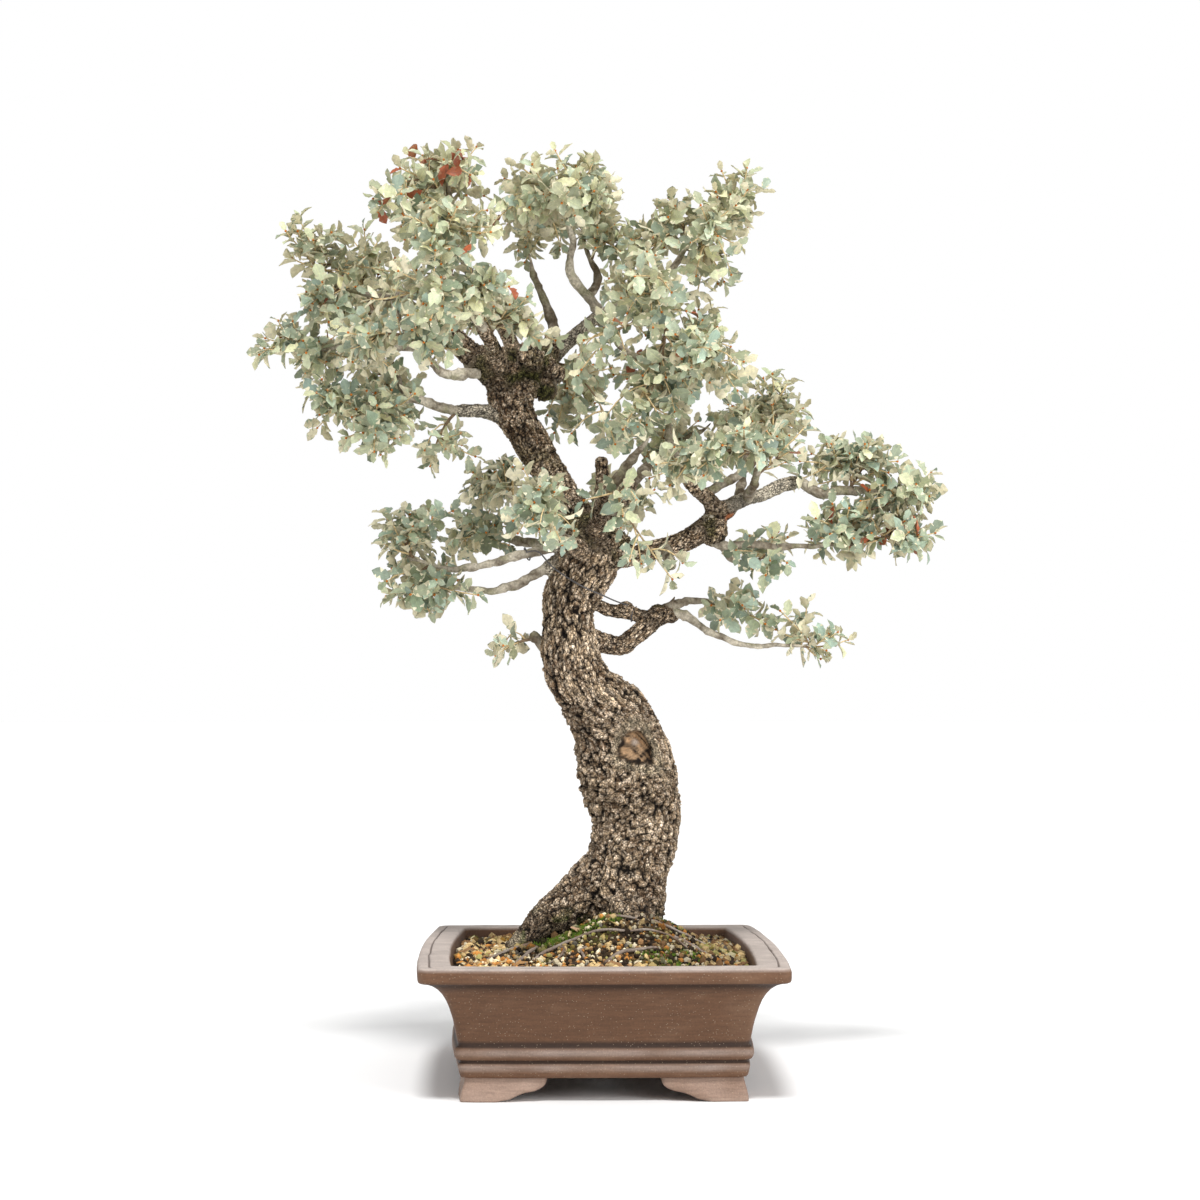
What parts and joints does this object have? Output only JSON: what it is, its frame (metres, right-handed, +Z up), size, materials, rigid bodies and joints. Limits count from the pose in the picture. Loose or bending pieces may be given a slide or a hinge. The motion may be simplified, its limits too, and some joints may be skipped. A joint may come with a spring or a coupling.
{
  "type": "holm oak bonsai",
  "caption": "Old holm oak bonsai with a leaning, plated trunk and a spreading crown of small spiny leaves, in a shallow unglazed footed pot filled with gritty soil.",
  "frame": {"origin": "centre of the object's bounding box on the ground, under the pot's feet", "axes": "+Z up, -Y towards the viewer, who faces a short side of the pot; +X to the viewer's right"},
  "size_m": [0.5595, 0.397, 0.7658],
  "materials": {
    "stoneware": "matte",
    "soil": "matte",
    "bark": "matte",
    "leaves": "satin",
    "wire": "satin",
    "mesh": "matte"
  },
  "bodies": {
    "root": {"pot": "stoneware", "drain_mesh_front": "mesh", "drain_mesh_back": "mesh", "soil": "soil", "trunk_and_branches": "bark", "guy_wire": "wire", "leafy_spray_01": "leaves", "leafy_spray_02": "leaves", "leafy_spray_03": "leaves", "leafy_spray_04": "leaves", "leafy_spray_05": "leaves", "leafy_spray_06": "leaves", "leafy_spray_07": "leaves", "leafy_spray_08": "leaves", "leafy_spray_09": "leaves", "leafy_spray_10": "leaves", "leafy_spray_11": "leaves", "leafy_spray_12": "leaves", "leafy_spray_13": "leaves", "leafy_spray_14": "leaves", "leafy_spray_15": "leaves", "leafy_spray_16": "leaves", "leafy_spray_17": "leaves", "leafy_spray_18": "leaves", "leafy_spray_19": "leaves", "leafy_spray_20": "leaves", "leafy_spray_21": "leaves", "leafy_spray_22": "leaves", "leafy_spray_23": "leaves", "leafy_spray_24": "leaves", "leafy_spray_25": "leaves", "leafy_spray_26": "leaves", "leafy_spray_27": "leaves", "leafy_spray_28": "leaves", "leafy_spray_29": "leaves", "leafy_spray_30": "leaves", "leafy_spray_31": "leaves", "leafy_spray_32": "leaves", "leafy_spray_33": "leaves", "leafy_spray_34": "leaves", "leafy_spray_35": "leaves", "leafy_spray_36": "leaves", "leafy_spray_37": "leaves", "leafy_spray_38": "leaves", "leafy_spray_39": "leaves", "leafy_spray_40": "leaves", "leafy_spray_41": "leaves", "leafy_spray_42": "leaves", "leafy_spray_43": "leaves", "leafy_spray_44": "leaves", "leafy_spray_45": "leaves", "leafy_spray_46": "leaves", "leafy_spray_47": "leaves", "leafy_spray_48": "leaves", "leafy_spray_49": "leaves", "leafy_spray_50": "leaves", "leafy_spray_51": "leaves", "leafy_spray_52": "leaves", "leafy_spray_53": "leaves", "leafy_spray_54": "leaves"}
  },
  "joints": []
}
